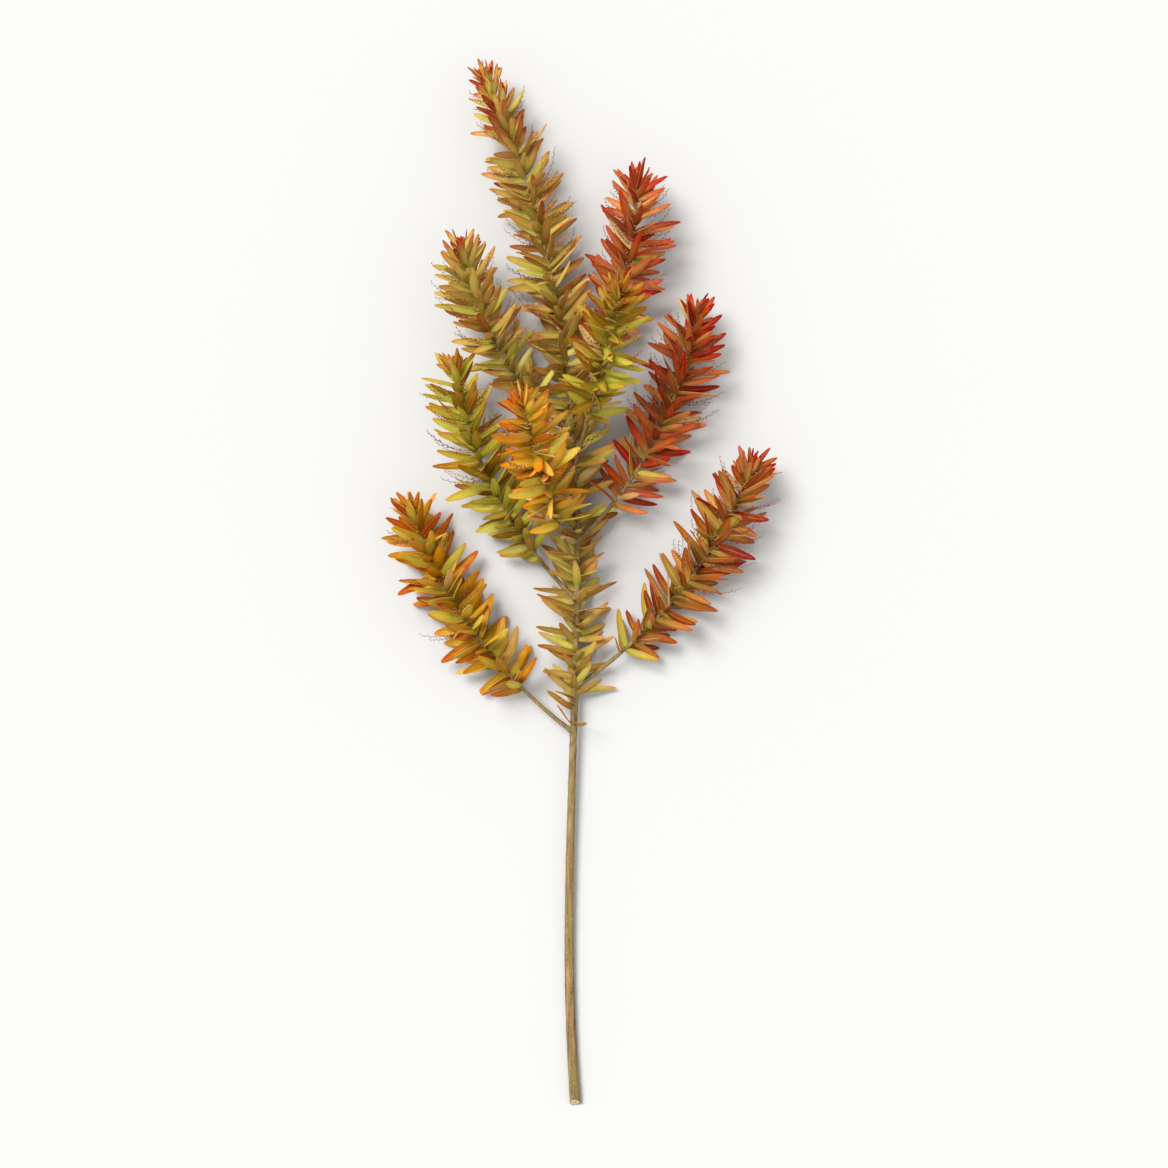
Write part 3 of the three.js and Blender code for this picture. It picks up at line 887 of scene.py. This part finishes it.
def leafFinish(name):
    look = {**leafCommon, **leafColours[name]}
    cover = look["cover"]
    finish = Finish(name, {"Specular IOR Level": look["gloss"], "Subsurface Weight": look["glow"],
                           "Subsurface Scale": look["glowDepth"] * mm,
                           "Subsurface Radius": look["glowColour"]})
    chance, share, dyed = finish.tones("leafTone", "Red", "Green", "Blue")
    youth = finish.signals(finish.add("Attribute", {"attribute_name": "leafTone"}), "Alpha")[0]
    flat = finish.add("UVMap", {"uv_map": "UVMap"}).outputs["UV"]
    across, along = finish.signals(finish.add("SeparateXYZ", {}, {"Vector": flat}), "X", "Y")
    offRib = abs(across * 2 - 1)
    spray = finish.grain(look["spray"], 3.0)
    blotch = finish.grain(look["blotch"], 2.0, distortion=0.6)
    fleck = finish.grain(look["fleckSize"], 1.0)

    # green at the foot, warmer along the leaf, and whole leaves that stayed green
    warm = along + (blotch - 0.5) * 0.5
    colour = finish.ramp(warm.limited(), (0.08, look["foot"]), (0.5, look["middle"]),
                         (0.95, look["tip"]))
    late = 1.1 - 0.9 * look["stayed"]
    stayed = (chance + (1 - share) * 0.25 + (spray - 0.5) * 0.9).stepped(late, late + 0.25)
    colour = finish.mixed(stayed * (1 - along * 0.55) * cover["green"], colour, look["green"])
    # dye that was sprayed on: in clouds over the shoot, and more at the tips
    cloud = spray * 1.5 + along * 0.45 + share * 0.35 + dyed * 0.5 + (blotch - 0.5) * 0.5
    thin = 1.75 - 0.8 * look["dyed"]
    colour = finish.mixed(cloud.stepped(thin, thin + 0.55) * cover["dye"], colour, look["dye"])
    # some leaves are deeper all over
    plain = 0.95 - look["deepened"]
    deeper = (dyed + (spray - 0.5) * 0.8).stepped(plain, plain + 0.4)
    colour = finish.mixed(deeper * cover["deep"], colour, look["deep"])
    # the youngest leaves blush towards their tips
    blush = (along * 0.8 + youth * 1.2 + (blotch - 0.5) * 0.9 + dyed * 0.5).stepped(1.35, 2.1)
    colour = finish.mixed(blush * look["blushed"], colour, look["blush"])
    # a few leaves went pale instead
    bleached = (1 - dyed.stepped(0.03, 0.035)) * (1 - along.stepped(0.6, 1.0) * 0.6)
    colour = finish.mixed(bleached * cover["bleached"], colour, look["bleached"])
    # darker margin, pale midrib, flecks, a dark point and a pale rim
    colour = finish.mixed(offRib.stepped(0.55, 1.0) * cover["edge"], colour, look["edge"])
    rib = (1 - offRib.stepped(0.03, 0.16)) * (1 - along.stepped(0.55, 0.98))
    colour = finish.mixed(rib * look["ribbed"], colour, look["rib"])
    spots = (fleck.stepped(0.62, 0.72) * (blotch + 0.2)).limited()
    colour = finish.mixed(spots * cover["fleck"], colour, look["fleck"])
    colour = finish.mixed(along.stepped(0.91, 0.98) * cover["point"], colour, look["point"])
    colour = finish.mixed(offRib.stepped(0.98, 0.999) * cover["rim"], colour, look["rim"])
    # by chance each leaf is a little darker and redder, or lighter and yellower
    values = {socket: between(*ends, chance) for socket, ends in look["shift"].items()}
    colour = finish.add("HueSaturation", {}, {**values, "Color": colour}).outputs["Color"]
    finish.wear("Base Color", colour)
    finish.wear("Roughness", between(*look["roughness"], blotch))
    nerves = (across * (math.tau * look["nerves"])).maths("SINE")
    finish.relief(nerves * 0.25 + rib * 1.2 + blotch * 0.9, *look["relief"])
    return finish.material


# Bark, and the skin of the twigs that it runs on into: colours, grains a metre and roughness
bark = dict(dark=(92, 66, 42), plain=(138, 108, 66), pale=(172, 144, 96), green=(128, 120, 66),
            pore=(196, 170, 124), streaks=300, cracks=700, patches=42, pores=1100, gloss=0.3,
            roughness=(0.6, 0.85), relief=(0.8, 0.4))
skin = dict(warm=(154, 126, 62), young=(168, 118, 62), red=(124, 62, 38), streaks=420, patches=90,
            pores=1500, roughness=(0.5, 0.75))


# The skin of a twig by its share along: its colour, its roughness and its height
def twigSkin(finish, share):
    streak = finish.grain(skin["streaks"], 3.0, stretch=(1, 0.25, 1))
    patch = finish.grain(skin["patches"], 2.0)
    pore = finish.grain(skin["pores"], 2.0, stretch=(1, 0.5, 1))
    colour = finish.ramp(streak, (0.3, bark["dark"]), (0.5, bark["plain"]), (0.72, bark["pale"]))
    colour = finish.mixed(patch.stepped(0.42, 0.62) * 0.55, colour, bark["green"])
    young = ((streak - 0.5) * 0.6 + share).stepped(0.25, 0.85)
    warm = finish.mixed(patch.stepped(0.4, 0.6), skin["young"], skin["warm"])
    colour = finish.mixed(young * 0.85, colour, warm)
    colour = finish.mixed(streak.stepped(0.56, 0.72) * 0.35, colour, skin["red"])
    colour = finish.mixed(pore.stepped(0.62, 0.7) * 0.5, colour, bark["pore"])
    return colour, between(*skin["roughness"], streak), streak + pore * 0.3


def twigFinish():
    finish = Finish("twigs", {"Specular IOR Level": bark["gloss"]})
    colour, roughness, height = twigSkin(finish, *finish.tones("rodTone", "Green"))
    finish.wear("Base Color", colour)
    finish.wear("Roughness", roughness)
    finish.relief(height, *bark["relief"])
    return finish.material


def barkFinish():
    finish = Finish("bark", {"Specular IOR Level": bark["gloss"]})
    share, knob, dent = finish.tones("barkTone", "Red", "Green", "Blue")
    streak = finish.grain(bark["streaks"], 4.0, stretch=(1, 0.1, 1), distortion=0.4)
    crack = finish.grain(bark["cracks"], 3.0, stretch=(1, 0.06, 1), distortion=0.8)
    patch = finish.grain(bark["patches"], 3.0)
    pore = finish.grain(bark["pores"], 2.0, stretch=(1, 0.5, 1))
    colour = finish.ramp(streak, (0.3, bark["dark"]), (0.5, bark["plain"]), (0.7, bark["pale"]))
    colour = finish.mixed(patch.stepped(0.45, 0.65) * 0.5, colour, bark["green"])
    colour = finish.mixed(crack.stepped(0.56, 0.68) * 0.55, colour, bark["dark"])
    colour = finish.mixed(pore.stepped(0.62, 0.68) * 0.6, colour, bark["pore"])
    colour = finish.mixed((knob * 0.5).limited(), colour, bark["pale"])
    colour = finish.mixed((dent * 0.9).limited(), colour, bark["dark"])
    roughness = between(*bark["roughness"], streak)
    height = streak + pore * 0.4 - crack.stepped(0.55, 0.7) * 0.8
    # towards its end the bark turns into the young skin of the axis
    young, youngRoughness, youngHeight = twigSkin(finish, 0)
    grown = (share + (patch - 0.5) * 0.2).stepped(0.7, 0.94)
    finish.wear("Base Color", finish.mixed(grown, colour, young))
    finish.wear("Roughness", roughness * (1 - grown) + youngRoughness * grown)
    finish.relief(height * (1 - grown) + youngHeight * grown, *bark["relief"])
    return finish.material


budLook = dict(shades=((0.0, (92, 44, 26)), (0.35, (132, 58, 34)), (0.6, (178, 86, 46)),
                       (0.8, (196, 138, 76)), (1.0, (212, 176, 116))),
               stalk=(132, 84, 44), shadow=(70, 34, 20), dust=2600, gloss=0.3, roughness=(0.6, 0.8),
               relief=(0.6, 0.2))


def budFinish():
    finish = Finish("buds", {"Specular IOR Level": budLook["gloss"]})
    mark, chance = finish.tones("rodTone", "Red", "Blue")
    dust = finish.grain(budLook["dust"], 2.0)
    colour = finish.ramp(chance, *budLook["shades"])
    colour = finish.mixed(1 - mark.stepped(0.3, 0.5), colour, budLook["stalk"])
    colour = finish.mixed(dust.stepped(0.5, 0.7) * 0.4, colour, budLook["shadow"])
    finish.wear("Base Color", colour)
    finish.wear("Roughness", between(*budLook["roughness"], dust))
    finish.relief(dust, *budLook["relief"])
    return finish.material


# The cut end, from its pith out to its bark
cutLook = dict(shades=((0.08, (160, 116, 70)), (0.17, (216, 190, 140)), (0.7, (232, 214, 168)),
                       (0.9, (206, 196, 132))),
               ring=(178, 142, 92), ringTurns=26, fibres=2400, gloss=0.25, roughness=(0.65, 0.85),
               relief=(0.5, 0.15))


def cutFinish():
    finish = Finish("cut_wood", {"Specular IOR Level": cutLook["gloss"]})
    place = finish.add("TexCoord").outputs["Object"]
    middle = toFrame((0, cut["reach"], branch["buttRadius"] - branch["restDepth"]))
    values = {"Vector": place, "Location": tuple(-middle)}
    offset = finish.add("Mapping", {}, values).outputs[0]
    x, z = finish.signals(finish.add("SeparateXYZ", {}, {"Vector": offset}), "X", "Z")
    out = (x * x + z * z).maths("SQRT") / (branch["buttRadius"] * mm)
    fibre = finish.grain(cutLook["fibres"], 2.0)
    rings = ((out + (fibre - 0.5) * 0.05) * cutLook["ringTurns"]).maths("SINE") * 0.5 + 0.5
    colour = finish.ramp(out.limited(), *cutLook["shades"])
    colour = finish.mixed(rings * 0.3, colour, cutLook["ring"])
    finish.wear("Base Color", colour)
    finish.wear("Roughness", between(*cutLook["roughness"], fibre))
    finish.relief(fibre + rings * 0.4, *cutLook["relief"])
    return finish.material


# Put together: pieces ride on the one body and stand for the measured solids

def settle(piece, node, slot, *materials):
    for material in materials:
        piece.data.materials.append(material)
    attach(piece, "root")
    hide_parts(node)


print("models")
models = dict(leaf=leafModel(), bead=budModel(), stalk=unitRod(budString["sides"], budString["rows"]),
              twig=unitRod(twig["sides"], twig["rows"]), collar=unitRod(twig["sides"], collar["rows"]),
              axis=unitRod(axisRod["sides"], axisRod["rows"]))
models["cluster"] = clusterModel(models["stalk"], models["bead"])

print("materials")
leafMaterials = {name: leafFinish(name) for name in leafColours}
twigMaterial = twigFinish()
budMaterial = budFinish()


# The leaves, the buds and the wood of a shoot or the axis, whose rods are made when the wood is
def addShoot(shoot, line, rodsOf):
    name, slot = shoot["name"], shoot["slot"]
    draw = random.Random(shoot["seed"])
    leaves = leavesOf(shoot, line, models["leaf"], draw)
    settle(leaves, name, slot, leafMaterials[shoot.get("palette", slot)])
    settle(budsOf(shoot, line, models, draw), name, "buds", budMaterial)
    wood = joined(rodsOf(), name + "_twig")
    smoothed(wood, twig["smoothing"])
    settle(wood, name, "twigs", twigMaterial)


print("shoots")
for shoot in shoots:
    line = shootLine(shoot)
    addShoot(shoot, line, lambda: [twigOf(shoot, line, models["twig"])])

print("axis")
addShoot(leafyAxis, leafyLine, lambda: [axisOf(models["axis"])] + [
    collarOf(shoot, shootLine(shoot), models["collar"]) for shoot in shoots])

print("stem")
settle(woodenStem(), "main_stem", "bark", barkFinish(), cutFinish())

for model in models.values():
    bpy.data.objects.remove(model)

# Stage: a pale floor, soft light, and a camera straight above

print("stage")
studio = dict(floorSize=400.0, floorColour=(205, 205, 203), sky=0.74, lampPower=3.35, lampSpread=28,
              lampPlace=(-0.75, 0.72, 1.42), lens=85, sensor=36, shownHeight=0.86)

deselectAll()
bpy.ops.mesh.primitive_plane_add(size=studio["floorSize"])
floor = bpy.context.object
floor.name = "floor"
floorLook = {"Specular IOR Level": 0.2, "Roughness": 0.8, "Base Color": paint(*studio["floorColour"])}
floor.data.materials.append(Finish("floor", floorLook).material)
floor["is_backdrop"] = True

world = bpy.data.worlds.new("studio")
world.use_nodes = True
sky = world.node_tree.nodes["Background"].inputs
sky["Color"].default_value = (1, 1, 1, 1)
sky["Strength"].default_value = studio["sky"]
bpy.context.scene.world = world

lampPlace = Vector(studio["lampPlace"])
bpy.ops.object.light_add(type="SUN", location=lampPlace)
lamp = bpy.context.object
lamp.data.energy = studio["lampPower"]
lamp.data.angle = math.radians(studio["lampSpread"])
lamp.rotation_euler = (-lampPlace).to_track_quat("-Z", "Y").to_euler()

lowest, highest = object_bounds()
middleHeight = (lowest[2] + highest[2]) / 2
above = studio["shownHeight"] * studio["lens"] / studio["sensor"]
bpy.ops.object.camera_add(location=(0, 0, middleHeight + above), rotation=(0, 0, 0))
camera = bpy.context.object
camera.data.sensor_width = studio["sensor"]
camera.data.lens = studio["lens"]
camera.data.clip_end = studio["floorSize"]
bpy.context.scene.camera = camera
bpy.context.scene.view_settings.view_transform = "Standard"
